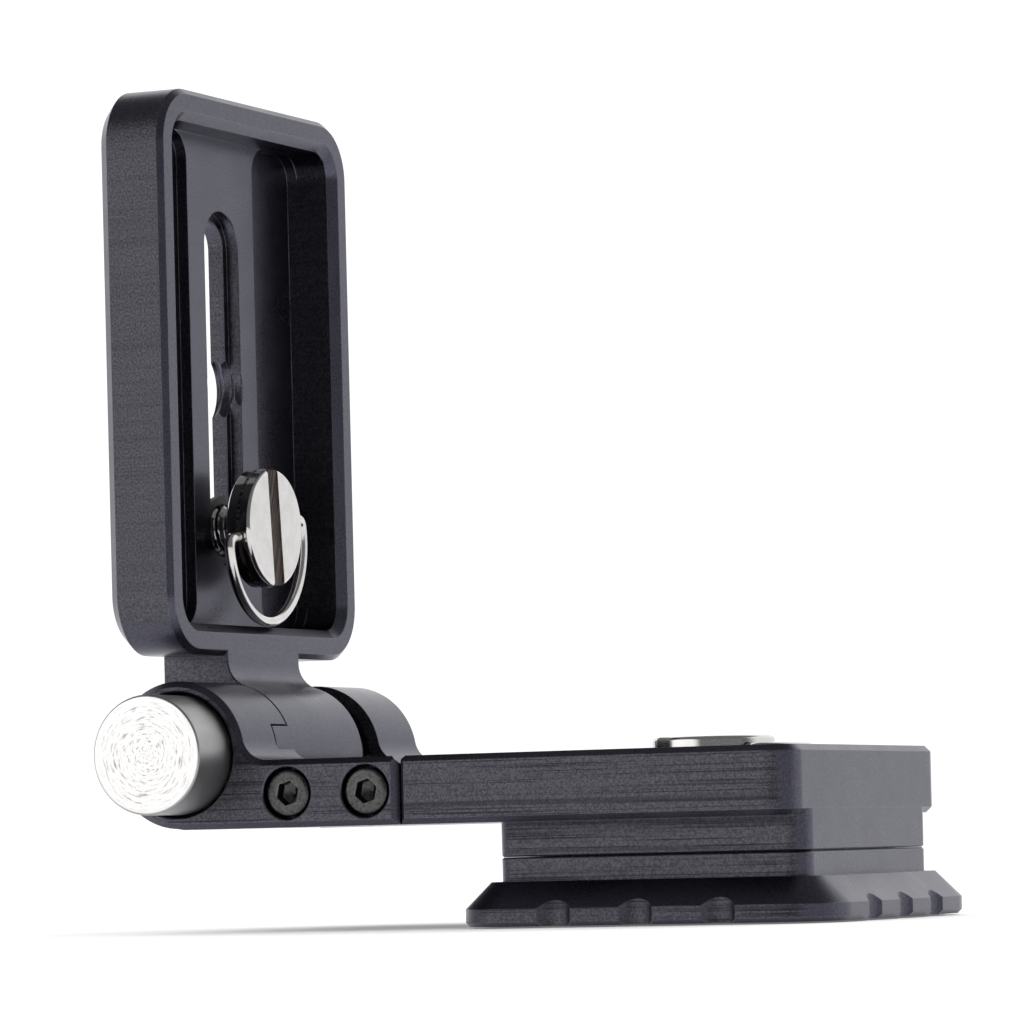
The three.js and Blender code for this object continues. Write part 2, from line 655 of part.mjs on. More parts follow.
// A screw in its own frame: the head's face at z = 0, the shank down along -z,
// the ring's pivots along x and the ring hanging along -y.
function screwInOwnFrame(length, coinAngle) {
  const profile = [[0, -length], [THREAD_ROOT_R - 0.3, -length], [THREAD_ROOT_R, -length + 0.4]];
  const threadEnd = -HEAD_HEIGHT - 1.6;
  const last = Math.min(threadEnd, -length + THREAD_TURNS * THREAD_PITCH + 0.6);
  for (let z = -length + 0.5; z + THREAD_PITCH < last; z += THREAD_PITCH) {
    profile.push([THREAD_ROOT_R, z + 0.1], [THREAD_R, z + 0.6]);
  }
  profile.push([THREAD_ROOT_R, threadEnd], [THREAD_ROOT_R, -HEAD_HEIGHT]);
  profile.push([HEAD_R - 0.25, -HEAD_HEIGHT], [HEAD_R, -HEAD_HEIGHT + 0.25]);
  profile.push([HEAD_R, -HEAD_BEVEL], [HEAD_R - HEAD_BEVEL, 0], [0, 0]);
  const body = turned(profile, 'z', new THREE.Vector3(), 40);
  const coin = solid(new THREE.BoxGeometry(2 * HEAD_R + 2, COIN_WIDTH, 2 * COIN_DEPTH));
  const pivots = [-1, 1].map((side) => {
    const ends = [side * (HEAD_R - PIVOT_DEPTH - 0.2), side * (HEAD_R + 1)].sort((p, q) => p - q);
    return rod('x', WIRE_R + 0.09, ends[0], ends[1], 0, -HEAD_HEIGHT / 2, 16);
  });
  return cut(body, coin.rotate([0, 0, coinAngle]), ...pivots);
}

function ringInOwnFrame() {
  const level = -HEAD_HEIGHT / 2;
  const end = HEAD_R - PIVOT_DEPTH;
  const bend = 1.3;
  const path = new THREE.CurvePath();
  const straight = (u, v, s, t) => path.add(new THREE.LineCurve3(
    new THREE.Vector3(u, v, level), new THREE.Vector3(s, t, level)));
  const corner = (side) => new THREE.QuadraticBezierCurve3(
    new THREE.Vector3(side * (RING_HALF_WIDTH - bend), 0, level),
    new THREE.Vector3(side * RING_HALF_WIDTH, 0, level),
    new THREE.Vector3(side * RING_HALF_WIDTH, -bend, level));
  const bow = new THREE.CatmullRomCurve3(bowPoints(level, bend));
  straight(-end, 0, -RING_HALF_WIDTH + bend, 0);
  path.add(corner(-1));
  path.add(bow);
  const back = corner(1);
  path.add(new THREE.QuadraticBezierCurve3(back.v2, back.v1, back.v0));
  straight(RING_HALF_WIDTH - bend, 0, end, 0);
  return wire(path, WIRE_R, 8, 52);
}

// The bow of the D: half an oval from one leg round to the other.
function bowPoints(level, bend) {
  const points = [];
  const steps = 18;
  for (let i = 0; i <= steps; i += 1) {
    const angle = Math.PI * (1 + i / steps);
    points.push(new THREE.Vector3(
      RING_HALF_WIDTH * Math.cos(angle),
      -bend + (RING_DROP - bend) * Math.sin(angle),
      level));
  }
  return points;
}

// The tray's screw faces +X; its pivots are turned by the tilt from level.
function onTray(body) {
  const tilt = THREE.MathUtils.degToRad(PIVOT_TILT);
  const pivot = new THREE.Vector3(0, Math.cos(tilt), Math.sin(tilt));
  const up = new THREE.Vector3(0, -Math.sin(tilt), Math.cos(tilt));
  return placed(body, pivot, up, X, new THREE.Vector3(TRAY_SCREW_FACE, 0, TRAY_SCREW_Z));
}

// The arm's screw faces up.
function onArm(body) {
  const turn = THREE.MathUtils.degToRad(ARM_RING_TURN);
  const pivot = new THREE.Vector3(Math.cos(turn), Math.sin(turn), 0);
  const away = new THREE.Vector3(-Math.sin(turn), Math.cos(turn), 0);
  return placed(
    body, pivot.negate(), away.negate(), Z, new THREE.Vector3(0, 0, ARM_SCREW_FACE));
}

function trayScrewWasher() {
  const seat = TRAY_FRONT - PAD_DEPTH - SLOT_STEP_DEPTH;
  return tube('x', THREAD_R + 0.1, SLOT_HALF - 0.2, seat + 0.1, seat + 0.1 + WASHER_HEIGHT,
    0, TRAY_SCREW_Z, 32);
}

function armScrewWasher() {
  const seat = ARM_TOP - ARM_RECESS_DEPTH;
  return tube('z', THREAD_R + 0.1, HEAD_R - 1, seat + 0.05, seat + 0.05 + WASHER_HEIGHT, 0, 0, 32);
}

// ------------------------------------------------------------------- assembly

const group = new THREE.Group();

group.add(piece('arm_body', armBody(), blackAnodised));
group.add(piece('front_cheek', frontCheek(), blackAnodised));
CAP_SCREW_X.forEach((x, i) => group.add(piece(`cheek_screw_${i + 1}`, capScrew(x), blackSteel)));
CHEEK_DOWEL_X.forEach((x, i) => group.add(piece(`cheek_dowel_${i + 1}`, cheekDowel(x), springSteel)));
group.add(piece('foot_plate', footPlate(), blackAnodised));
FOOT_DOWEL_X.forEach((x, i) => group.add(piece(`foot_dowel_${i + 1}`, footDowel(x), springSteel)));
group.add(piece('front_sleeve', sleeve(BUTTON_BORE_FLOOR, CHEEK_INNER - 0.1), bronze));
group.add(piece('rear_sleeve', sleeve(SPRING_SEAT_REAR + 0.1, CAP_SEAT - 0.1), bronze));
group.add(piece('hinge_end_cap', endCap(), blackAnodised));
group.add(piece('return_spring', wire(new SpringCurve(), SPRING_WIRE_R, 6, 84), springSteel));

group.add(piece('tray', trayPiece(), blackAnodised));
group.add(piece('knuckle_sleeve_front', sleeve(KNUCKLE_FRONT + 1.85, -3.6), bronze));
group.add(piece('knuckle_sleeve_rear', sleeve(-3.2, SPRING_SEAT_FRONT - 0.1), bronze));

const thrustWasher = hingeTube(
  SHAFT_R + 0.2, SPRING_BORE_R - 0.3, SPRING_SEAT_FRONT + 0.1, SPRING_SEAT_FRONT + 0.1 + WASHER_HEIGHT, 40);
group.add(piece('hinge_shaft', hingeShaft(), turnedSteel));
group.add(piece('release_button', releaseButton(), turnedSteel));
group.add(piece('button_cross_pin', crossPinRod(0, 6.8), springSteel));
group.add(piece('thrust_washer', thrustWasher, springSteel));

const trayScrewLength = TRAY_SCREW_FACE - TRAY_SCREW_TIP;
const coinOnTray = 90 + COIN_TILT - PIVOT_TILT;
group.add(piece('tray_screw_washer', trayScrewWasher(), whiteNylon));
group.add(piece('tray_screw', onTray(screwInOwnFrame(trayScrewLength, coinOnTray)), polishedSteel));
group.add(piece('tray_screw_ring', onTray(ringInOwnFrame()), polishedSteel));

group.add(piece('arm_screw_washer', armScrewWasher(), whiteNylon));
group.add(piece('arm_screw', onArm(screwInOwnFrame(ARM_SCREW_FACE - ARM_SCREW_TIP, 90)), polishedSteel));
group.add(piece('arm_screw_ring', onArm(ringInOwnFrame()), polishedSteel));

export default group;
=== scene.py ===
import math

import bmesh
import bpy
from mathutils import Matrix, Vector


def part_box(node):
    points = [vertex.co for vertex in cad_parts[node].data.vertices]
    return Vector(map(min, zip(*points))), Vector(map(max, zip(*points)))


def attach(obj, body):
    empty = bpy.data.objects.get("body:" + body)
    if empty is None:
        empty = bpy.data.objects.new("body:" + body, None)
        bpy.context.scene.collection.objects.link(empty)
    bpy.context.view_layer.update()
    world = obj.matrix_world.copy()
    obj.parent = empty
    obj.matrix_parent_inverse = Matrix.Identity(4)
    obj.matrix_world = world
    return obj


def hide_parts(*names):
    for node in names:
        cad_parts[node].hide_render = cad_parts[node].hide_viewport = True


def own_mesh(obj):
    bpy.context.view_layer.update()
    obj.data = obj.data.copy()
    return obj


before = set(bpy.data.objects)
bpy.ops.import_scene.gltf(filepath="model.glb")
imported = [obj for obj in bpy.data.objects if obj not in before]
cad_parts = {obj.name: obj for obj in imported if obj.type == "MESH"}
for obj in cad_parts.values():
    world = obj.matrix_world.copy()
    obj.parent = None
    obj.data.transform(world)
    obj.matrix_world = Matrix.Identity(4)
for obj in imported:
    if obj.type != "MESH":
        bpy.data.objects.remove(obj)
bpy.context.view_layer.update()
scene = bpy.context.scene

# --------------------------------------------------------------- dimensions
# Millimetres. Places come from the CAD nodes' boxes or are set out from the hinge axis.

MM = 0.001


def limits(node):
    low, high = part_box(node)
    return low / MM, high / MM


button_low, button_high = limits("release_button")
tray_high = limits("tray")[1]
arm_high = limits("arm_body")[1]
tray_screw_low, tray_screw_high = limits("tray_screw")
arm_screw_low, arm_screw_high = limits("arm_screw")
spring_low, spring_high = limits("return_spring")
cap_low, cap_high = limits("hinge_end_cap")

HX = (button_low.x + button_high.x) / 2
HZ = (button_low.z + button_high.z) / 2
BARREL_R = 8.75
ARM_HALF = arm_high.y
ARM_END = arm_high.x
ARM_TOP = HZ - 0.87
ARM_BOTTOM = HZ - 8.88
ARM_CHAMFER = 0.7
FILLET_R = 3.1
CHEEK_END = HX + 28.9
CHEEK_INNER = -11.25
CLEAR_R = 9.35
REAR_EAR = 13.0
KNUCKLE_FRONT = -10.95
KNUCKLE_REAR = 8.2
BLOCK_X0 = HX + 39.4
BLOCK_HALF = 20.4
BLOCK_R = 2.55
SEAM = 8.0
SHOULDER_Z = 5.15
TRAY_FRONT = HX + 0.3
TRAY_BACK = HX - 8.5
TRAY_HALF = tray_high.y
TRAY_Z0 = HZ + 12.1
TRAY_Z1 = tray_high.z
WALL = 3.77
PAD_X = TRAY_FRONT - 5.2
POCKET_X = TRAY_FRONT - 6.6
PAD_HALF = 8.7
SCREW_Z = (tray_screw_low.z + tray_screw_high.z) / 2
HEAD_R = 7.25
HEAD_H = 3.2
SPLIT_GAP = 0.02

AXIS = (HX, HZ)
JOIN_X = CHEEK_END + 2
ARM_CORNER_R = 3.5
SHAFT_BORE_R = 5.05
BUTTON_BORE_R = 7.45
SPRING_BORE_R = 7.4
DOVETAIL_STEP = 1.32
DOVETAIL_RISE = 3.1
NOTCH_R = 2.9
NOTCH_DEPTH = 0.9
NOTCH_PITCH = 10.2
SEAM_EDGE = 0.2
FOOT_EDGE = 0.5
TRAY_CORNER_R = 7
TRAY_BACK_CHAMFER = 1.45
TRAY_FRONT_CHAMFER = 0.67
KNUCKLE_EDGE = 0.15
SLOT_HALF = 3.4
SLOT_STEP_HALF = 4.4
TAPPED_R = 4.75
TAPPED_PITCH = 1.59
COIN_HALF = 1.35
COIN_DEPTH = 1.5
SOCKET_R = 1.443
SPRING_WIRE_R = 0.54
SPRING_END = 0.56
SPRING_TURNS = 5

# ------------------------------------------------------------ mesh building


def mesh_object(name, verts, faces):
    mesh = bpy.data.meshes.new(name)
    mesh.from_pydata([(x * MM, y * MM, z * MM) for x, y, z in verts], [], faces)
    obj = bpy.data.objects.new(name, mesh)
    scene.collection.objects.link(obj)
    face_out(obj)
    return obj


def face_out(obj):
    bm = bmesh.new()
    bm.from_mesh(obj.data)
    bmesh.ops.recalc_face_normals(bm, faces=bm.faces)
    bm.to_mesh(obj.data)
    bm.free()


def lift(axis, t, a, b):
    """A point from its place along an axis and its two other coordinates."""
    return {"x": (t, a, b), "y": (a, t, b), "z": (a, b, t)}[axis]


def polar(centre, radius, angle):
    """The point at a distance and angle from a centre, in a plane."""
    return (centre[0] + radius * math.cos(angle), centre[1] + radius * math.sin(angle))


def rounded(a0, a1, b0, b1, radius, inset=0.0, steps=12):
    """A rectangle with round corners, shrunk all round by inset."""
    points = []
    r = radius - inset
    corners = [(a1 - radius, b0 + radius, -90), (a1 - radius, b1 - radius, 0),
               (a0 + radius, b1 - radius, 90), (a0 + radius, b0 + radius, 180)]
    for ca, cb, start in corners:
        for i in range(steps + 1):
            angle = math.radians(start + 90 * i / steps)
            points.append(polar((ca, cb), r, angle))
    return points


def tube_faces(rings, sides):
    """Faces of a closed tube: its first and last ring, then the quads between rings."""
    faces = [list(range(sides)), [(rings - 1) * sides + k for k in range(sides)]]
    for i in range(rings - 1):
        for k in range(sides):
            m = (k + 1) % sides
            faces.append([i * sides + k, i * sides + m, (i + 1) * sides + m, (i + 1) * sides + k])
    return faces


def loft(name, axis, sections):
    """A closed solid through outlines with as many points each: (place, outline)."""
    verts = [lift(axis, t, a, b) for t, outline in sections for a, b in outline]
    return mesh_object(name, verts, tube_faces(len(sections), len(sections[0][1])))


def box(x0, x1, y0, y1, z0, z1):
    outline = [(x0, y0), (x1, y0), (x1, y1), (x0, y1)]
    return loft("tool", "z", [(z0, outline), (z1, outline)])


def lathe(name, axis, centre, profile, steps=96):
    """Spins (radius, place) pairs about an axis through centre. A radius of 0 is a pole."""
    verts = []
    rings = []
    for radius, t in profile:
        if radius == 0:
            rings.append([len(verts)])
            verts.append(lift(axis, t, *centre))
            continue
        rings.append([len(verts) + i for i in range(steps)])
        for i in range(steps):
            verts.append(lift(axis, t, *polar(centre, radius, 2 * math.pi * i / steps)))
    faces = []
    pairs = list(zip(rings, rings[1:]))
    if profile[0][0] and profile[-1][0]:
        pairs.append((rings[-1], rings[0]))
    for low, high in pairs:
        for i in range(steps):
            j = (i + 1) % steps
            if len(low) == 1:
                faces.append([low[0], high[i], high[j]])
            elif len(high) == 1:
                faces.append([low[i], low[j], high[0]])
            else:
                faces.append([low[i], low[j], high[j], high[i]])
    return mesh_object(name, verts, faces)


def rod(axis, centre, radius, t0, t1, steps=64):
    return lathe("tool", axis, centre, [(0, t0), (radius, t0), (radius, t1), (0, t1)], steps)


def combine(obj, operation, tools):
    for tool in tools:
        step = obj.modifiers.new("step", "BOOLEAN")
        step.object = tool
        step.operation = operation
        step.solver = "EXACT"
    graph = bpy.context.evaluated_depsgraph_get()
    mesh = bpy.data.meshes.new_from_object(obj.evaluated_get(graph))
    obj.modifiers.clear()
    old = obj.data
    obj.data = mesh
    bpy.data.meshes.remove(old)
    for tool in tools:
        bpy.data.objects.remove(tool)
    return obj


def cut(obj, *tools):
    return combine(obj, "DIFFERENCE", tools)


def join(obj, *tools):
    return combine(obj, "UNION", tools)


def sweep(name, points, radius, sides=18):
    """A round wire along a list of points, in mm, with closed ends."""
    path = [Vector(p) for p in points]
    verts = []
    normal = None
    for i, p in enumerate(path):
        along = (path[min(i + 1, len(path) - 1)] - path[max(i - 1, 0)]).normalized()
        if normal is None:
            normal = along.orthogonal().normalized()
        normal = (normal - along * normal.dot(along)).normalized()
        side = along.cross(normal)
        for k in range(sides):
            angle = 2 * math.pi * k / sides
            verts.append(tuple(p + radius * (math.cos(angle) * normal + math.sin(angle) * side)))
    return mesh_object(name, verts, tube_faces(len(path), sides))


# ---------------------------------------------------------------- materials


class Nodes:
    """Short names for building a shader."""

    def __init__(self, tree):
        self.tree = tree
        self.links = tree.links

    def add(self, kind, **settings):
        node = self.tree.nodes.new(kind)
        for key, value in settings.items():
            setattr(node, key, value)
        return node

    def put(self, socket, value):
        if isinstance(value, bpy.types.NodeSocket):
            self.links.new(value, socket)
        else:
            socket.default_value = value

    def math(self, operation, a, b=0.0, clamp=False):
        node = self.add("ShaderNodeMath", operation=operation, use_clamp=clamp)
        self.put(node.inputs[0], a)
        self.put(node.inputs[1], b)
        return node.outputs[0]

    def span(self, value, low, high, to_low=0.0, to_high=1.0, smooth=True):
        kind = "SMOOTHSTEP" if smooth else "LINEAR"
        node = self.add("ShaderNodeMapRange", interpolation_type=kind)
        self.put(node.inputs["Value"], value)
        self.put(node.inputs["From Min"], low)
        self.put(node.inputs["From Max"], high)
        self.put(node.inputs["To Min"], to_low)
        self.put(node.inputs["To Max"], to_high)
        return node.outputs["Result"]

    def mix(self, factor, a, b):
        node = self.add("ShaderNodeMix", data_type="RGBA")
        self.put(node.inputs[0], factor)
        self.put(node.inputs[6], a)
        self.put(node.inputs[7], b)
        return node.outputs[2]

    def noise(self, vector, scale, detail=2.0, roughness=0.5):
        node = self.add("ShaderNodeTexNoise")
        self.put(node.inputs["Vector"], vector)
        self.put(node.inputs["Scale"], scale)
        self.put(node.inputs["Detail"], detail)
        self.put(node.inputs["Roughness"], roughness)
        return node.outputs["Fac"]

    def stretched(self, vector, scale):
        node = self.add("ShaderNodeMapping")
        self.put(node.inputs["Vector"], vector)
        node.inputs["Scale"].default_value = scale
        return node.outputs["Vector"]

    def parts(self, vector):
        node = self.add("ShaderNodeSeparateXYZ")
        self.put(node.inputs[0], vector)
        return node.outputs

    def vector(self, x, y, z):
        node = self.add("ShaderNodeCombineXYZ")
        for socket, value in zip(node.inputs, (x, y, z)):
            self.put(socket, value)
        return node.outputs[0]

    def bump(self, height, strength, distance, normal=None):
        node = self.add("ShaderNodeBump")
        self.put(node.inputs["Height"], height)
        self.put(node.inputs["Strength"], strength)
        self.put(node.inputs["Distance"], distance)
        if normal is not None:
            self.links.new(normal, node.inputs["Normal"])
        return node.outputs[0]


def new_material(name):
    mat = bpy.data.materials.new(name)
    mat.use_nodes = True
    shader = mat.node_tree.nodes["Principled BSDF"]
    return mat, Nodes(mat.node_tree), shader


def edge_wear_and_highlight(n, radius):
    """A rounded normal for sharp edges, and how near a point is to one."""
    bevel = n.add("ShaderNodeBevel", samples=4)
    bevel.inputs["Radius"].default_value = radius
    geometry = n.add("ShaderNodeNewGeometry")
    dot = n.add("ShaderNodeVectorMath", operation="DOT_PRODUCT")
    n.put(dot.inputs[0], bevel.outputs[0])
    n.put(dot.inputs[1], geometry.outputs["Normal"])
    return bevel.outputs[0], n.span(dot.outputs["Value"], 0.995, 0.86)


def shade(tint, level, blue):
    """A tint made lighter or darker, with its blue scaled on its own."""
    return (tint[0] * level, tint[1] * level, tint[2] * blue, 1)


def anodised(name, tint=(0.080, 0.079, 0.106), lines=1.0):
    """Black anodised aluminium: blasted grain, with fine milling lines on the sides, and sharp edges
    lightened as part wear, part painted highlight.
    """
    mat, n, shader = new_material(name)
    coords = n.add("ShaderNodeTexCoord")
    place = coords.outputs["Object"]
    facing = n.parts(coords.outputs["Normal"])
    side = n.span(n.math("ABSOLUTE", facing[1]), 0.80, 0.97)
    grain = n.noise(place, 3800.0, 3.0, 0.7)
    soft = n.noise(place, 160.0, 2.0)
    milled = n.noise(n.stretched(place, (25.0, 200.0, 4200.0)), 1.0, 3.0, 0.6)
    bands = n.noise(n.stretched(place, (8.0, 60.0, 900.0)), 1.0, 2.0, 0.6)
    rounded_normal, wear_and_highlight = edge_wear_and_highlight(n, 0.00016)
    grit = n.math("ADD", 0.08, n.math("MULTIPLY", side, 0.72))
    blasted = n.bump(grain, grit, 0.00010, rounded_normal)
    depth = n.math("MULTIPLY", side, 0.45 * lines)
    final = n.bump(milled, depth, 0.00003, blasted)
    dark = n.mix(n.span(grain, 0.3, 0.72), shade(tint, 0.74, 0.74), shade(tint, 1.22, 1.20))
    coarse = n.mix(n.span(grain, 0.36, 0.64), shade(tint, 0.66, 0.58), shade(tint, 1.30, 1.14))
    plain = n.mix(side, dark, coarse)
    streak = n.math("MULTIPLY", n.span(bands, 0.50, 0.66), n.math("MULTIPLY", side, 0.55 * lines))
    banded = n.mix(streak, plain, (0.025, 0.025, 0.03, 1))
    scores = n.math("MULTIPLY", n.span(milled, 0.53, 0.63), n.math("MULTIPLY", side, 0.70 * lines))
    scored = n.mix(scores, banded, (0.016, 0.016, 0.02, 1))
    # Sharp edges are lightened to a pale lavender grey: part edge wear, part painted edge highlight.
    worn_and_highlit = n.mix(n.math("MULTIPLY", wear_and_highlight, n.span(soft, 0.35, 0.65, 0.15, 0.55)),
                 scored, (0.26, 0.26, 0.31, 1))
    n.put(shader.inputs["Base Color"], worn_and_highlit)
    shader.inputs["Metallic"].default_value = 1.0
    base = n.math("ADD", n.span(soft, 0.3, 0.7, 0.24, 0.29), n.math("MULTIPLY", side, 0.06))
    n.put(shader.inputs["Roughness"], n.math("ADD", base, n.math("MULTIPLY", grain, 0.06)))
    n.put(shader.inputs["Normal"], final)
    return mat


def polished(name, tint=(0.62, 0.605, 0.60), rough=0.10):
    """Nickel-plated steel with faint handling marks."""
    mat, n, shader = new_material(name)
    coords = n.add("ShaderNodeTexCoord")
    place = coords.outputs["Object"]
    haze = n.noise(place, 420.0, 4.0, 0.6)
    fine = n.noise(n.stretched(place, (2600.0, 700.0, 2600.0)), 1.0, 3.0, 0.6)
    rounded_normal, _ = edge_wear_and_highlight(n, 0.0001)
    colour = n.mix(n.span(haze, 0.35, 0.7), (*tint, 1), shade(tint, 0.9, 0.9))
    n.put(shader.inputs["Base Color"], colour)
    shader.inputs["Metallic"].default_value = 1.0
    n.put(shader.inputs["Roughness"], n.span(haze, 0.3, 0.75, rough, rough + 0.08))
    n.put(shader.inputs["Normal"], n.bump(fine, 0.12, 0.00002, rounded_normal))
    return mat


def coin_slotted(name):
    """Plated steel as the head, with cutter marks across the floor of the coin slot."""
    mat = polished(name, rough=0.07)
    n = Nodes(mat.node_tree)
    shader = mat.node_tree.nodes["Principled BSDF"]
    coords = n.add("ShaderNodeTexCoord")
    parts = n.parts(coords.outputs["Object"])
    deep = n.span(parts[0], (tray_screw_high.x - 1.25) * MM, (tray_screw_high.x - 1.45) * MM)
    front = n.span(parts[0], (tray_screw_high.x - 1.9) * MM, (tray_screw_high.x - 1.7) * MM)
    slot_floor = n.math("MULTIPLY", deep, front)
    across = n.math("ADD", parts[1], n.math("MULTIPLY", parts[2], 0.55))
    marks = n.noise(n.vector(n.math("MULTIPLY", across, 1900.0), n.math("MULTIPLY", parts[2], 60.0), 0.0),
                    1.0, 3.0, 0.7)
    old_colour = shader.inputs["Base Color"].links[0].from_socket
    brown = n.mix(n.span(marks, 0.35, 0.65), (0.05, 0.04, 0.036, 1), (0.30, 0.26, 0.24, 1))
    n.put(shader.inputs["Base Color"], n.mix(slot_floor, old_colour, brown))
    old_rough = shader.inputs["Roughness"].links[0].from_socket
    rougher = n.math("ADD", old_rough, n.math("MULTIPLY", slot_floor, 0.3))
    n.put(shader.inputs["Roughness"], rougher)
    old_normal = shader.inputs["Normal"].links[0].from_socket
    scored = n.bump(marks, n.math("MULTIPLY", slot_floor, 0.5), 0.00005, old_normal)
    n.put(shader.inputs["Normal"], scored)
    return mat


def turned_face(name):
    """Lathe-turned steel: fine rings and broken swirls round the hinge axis on the end face."""
    mat, n, shader = new_material(name)
    coords = n.add("ShaderNodeTexCoord")
    parts = n.parts(coords.outputs["Object"])
    dx = n.math("SUBTRACT", parts[0], HX * MM)
    dz = n.math("SUBTRACT", parts[2], HZ * MM)
    radius = n.math("SQRT", n.math("ADD", n.math("MULTIPLY", dx, dx), n.math("MULTIPLY", dz, dz)))
    turn = n.math("ARCTAN2", dz, dx)
    facing = n.parts(coords.outputs["Normal"])
    end = n.span(n.math("ABSOLUTE", facing[1]), 0.85, 0.98)
    warp = n.noise(coords.outputs["Object"], 500.0, 2.0)
    wrapped = n.vector(n.math("ADD", n.math("MULTIPLY", radius, 4300.0), n.math("MULTIPLY", warp, 2.4)),
                       n.math("MULTIPLY", turn, 2.6), 0.0)
    swirl = n.noise(wrapped, 1.0, 4.0, 0.62)
    rings = n.noise(n.vector(n.math("MULTIPLY", radius, 5200.0), 0.0, 0.0), 1.0, 2.0, 0.5)
    length = n.noise(n.vector(n.math("MULTIPLY", parts[1], 3800.0), n.math("MULTIPLY", turn, 1.5), 0.0),
                     1.0, 2.0, 0.5)
    reach = (button_high.x - button_low.x) / 2 * MM
    scratch = n.math("MULTIPLY", n.span(swirl, 0.53, 0.66), end)
    scratch = n.math("MULTIPLY", scratch, n.span(radius, reach * 0.95, reach * 0.78, 0.12, 1.0))
    rounded_normal, _ = edge_wear_and_highlight(n, 0.00012)
    height = n.math("ADD", swirl, n.math("MULTIPLY", rings, 0.5))
    faced = n.bump(height, n.math("MULTIPLY", end, 0.42), 0.00004, rounded_normal)
    barrel = n.math("MULTIPLY", n.math("SUBTRACT", 1.0, end), 0.10)
    final = n.bump(length, barrel, 0.00002, faced)
    colour = n.mix(n.math("MULTIPLY", scratch, 0.75), (0.74, 0.73, 0.72, 1), (0.22, 0.21, 0.205, 1))
    # The barrel side is given a darker grey than the end face: painted shade on the same turned steel.
    n.put(shader.inputs["Base Color"], n.mix(end, (0.40, 0.395, 0.40, 1), colour))
    shader.inputs["Metallic"].default_value = 1.0
    n.put(shader.inputs["Roughness"], n.math("SUBTRACT", n.span(swirl, 0.3, 0.7, 0.36, 0.48),
                                             n.math("MULTIPLY", end, 0.12)))
    n.put(shader.inputs["Normal"], final)
    return mat


def dark_steel(name):
    """Black-oxide steel screws, worn grey and given a painted highlight at the rim of the head."""
    mat, n, shader = new_material(name)
    coords = n.add("ShaderNodeTexCoord")
    place = coords.outputs["Object"]
    grain = n.noise(place, 3000.0, 3.0, 0.6)
    rounded_normal, wear_and_highlight = edge_wear_and_highlight(n, 0.00012)
    base = n.mix(n.span(grain, 0.3, 0.7), (0.045, 0.044, 0.044, 1), (0.10, 0.098, 0.096, 1))
    # The rim and other sharp edges are lightened to grey: part wear, part painted highlight.
    n.put(shader.inputs["Base Color"], n.mix(n.math("MULTIPLY", wear_and_highlight, 0.6), base, (0.5, 0.49, 0.47, 1)))
    shader.inputs["Metallic"].default_value = 1.0
    n.put(shader.inputs["Roughness"], n.span(grain, 0.3, 0.7, 0.26, 0.40))
    n.put(shader.inputs["Normal"], n.bump(grain, 0.25, 0.00002, rounded_normal))
    return mat


def plain_metal(name, colour, rough):
    """Small inner fittings: drawn or sintered metal with a fine mottled surface."""
    mat, n, shader = new_material(name)
    coords = n.add("ShaderNodeTexCoord")
    place = coords.outputs["Object"]
    mottle = n.noise(place, 1500.0, 4.0, 0.6)
    darker = tuple(0.78 * c for c in colour)
    n.put(shader.inputs["Base Color"], n.mix(n.span(mottle, 0.3, 0.7), (*darker, 1), (*colour, 1)))
    shader.inputs["Metallic"].default_value = 1.0
    n.put(shader.inputs["Roughness"], n.span(mottle, 0.3, 0.7, rough, rough + 0.12))
    n.put(shader.inputs["Normal"], n.bump(mottle, 0.15, 0.00002))
    return mat


def nylon(name):
    mat, n, shader = new_material(name)
    coords = n.add("ShaderNodeTexCoord")
    speck = n.noise(coords.outputs["Object"], 1800.0, 3.0, 0.6)
    n.put(shader.inputs["Base Color"], n.mix(n.span(speck, 0.3, 0.7), (0.014, 0.014, 0.015, 1),
                                             (0.026, 0.026, 0.028, 1)))
    n.put(shader.inputs["Roughness"], n.span(speck, 0.3, 0.7, 0.45, 0.6))
    shader.inputs["Subsurface Weight"].default_value = 0.15
    shader.inputs["Subsurface Radius"].default_value = (0.0006, 0.0006, 0.0006)
    n.put(shader.inputs["Normal"], n.bump(speck, 0.15, 0.00002))
    return mat


ANODISED = anodised("anodised_body")
ANODISED_TRAY = anodised("anodised_tray", lines=0.25)
PLATED = polished("plated_steel")
SLOTTED = coin_slotted("plated_steel_head")
TURNED = turned_face("turned_steel")
OXIDE = dark_steel("oxide_steel")
SPRING_STEEL = plain_metal("spring_wire", (0.46, 0.46, 0.48), 0.28)
BRONZE = plain_metal("sintered_bronze", (0.58, 0.40, 0.17), 0.38)
NYLON = nylon("black_nylon")


def dress(obj, node, body, material, angle=32.0, weld=0.0006):
    """Cleans a finished mesh, shades it, and hangs it on the frame in place of its node."""
    bm = bmesh.new()
    bm.from_mesh(obj.data)
    bmesh.ops.remove_doubles(bm, verts=bm.verts, dist=weld * MM)
    bmesh.ops.dissolve_degenerate(bm, edges=bm.edges, dist=weld * MM)
    bmesh.ops.recalc_face_normals(bm, faces=bm.faces)
    bm.to_mesh(obj.data)
    bm.free()
    for polygon in obj.data.polygons:
        polygon.use_smooth = True
    obj.data.set_sharp_from_angle(angle=math.radians(angle))
    weighted = obj.modifiers.new("normals", "WEIGHTED_NORMAL")
    weighted.mode = "FACE_AREA"
    weighted.keep_sharp = True
    obj.data.materials.clear()
    obj.data.materials.append(material)
    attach(obj, body)
    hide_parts(node)
    return obj


# ------------------------------------------------------------ arm and cheek


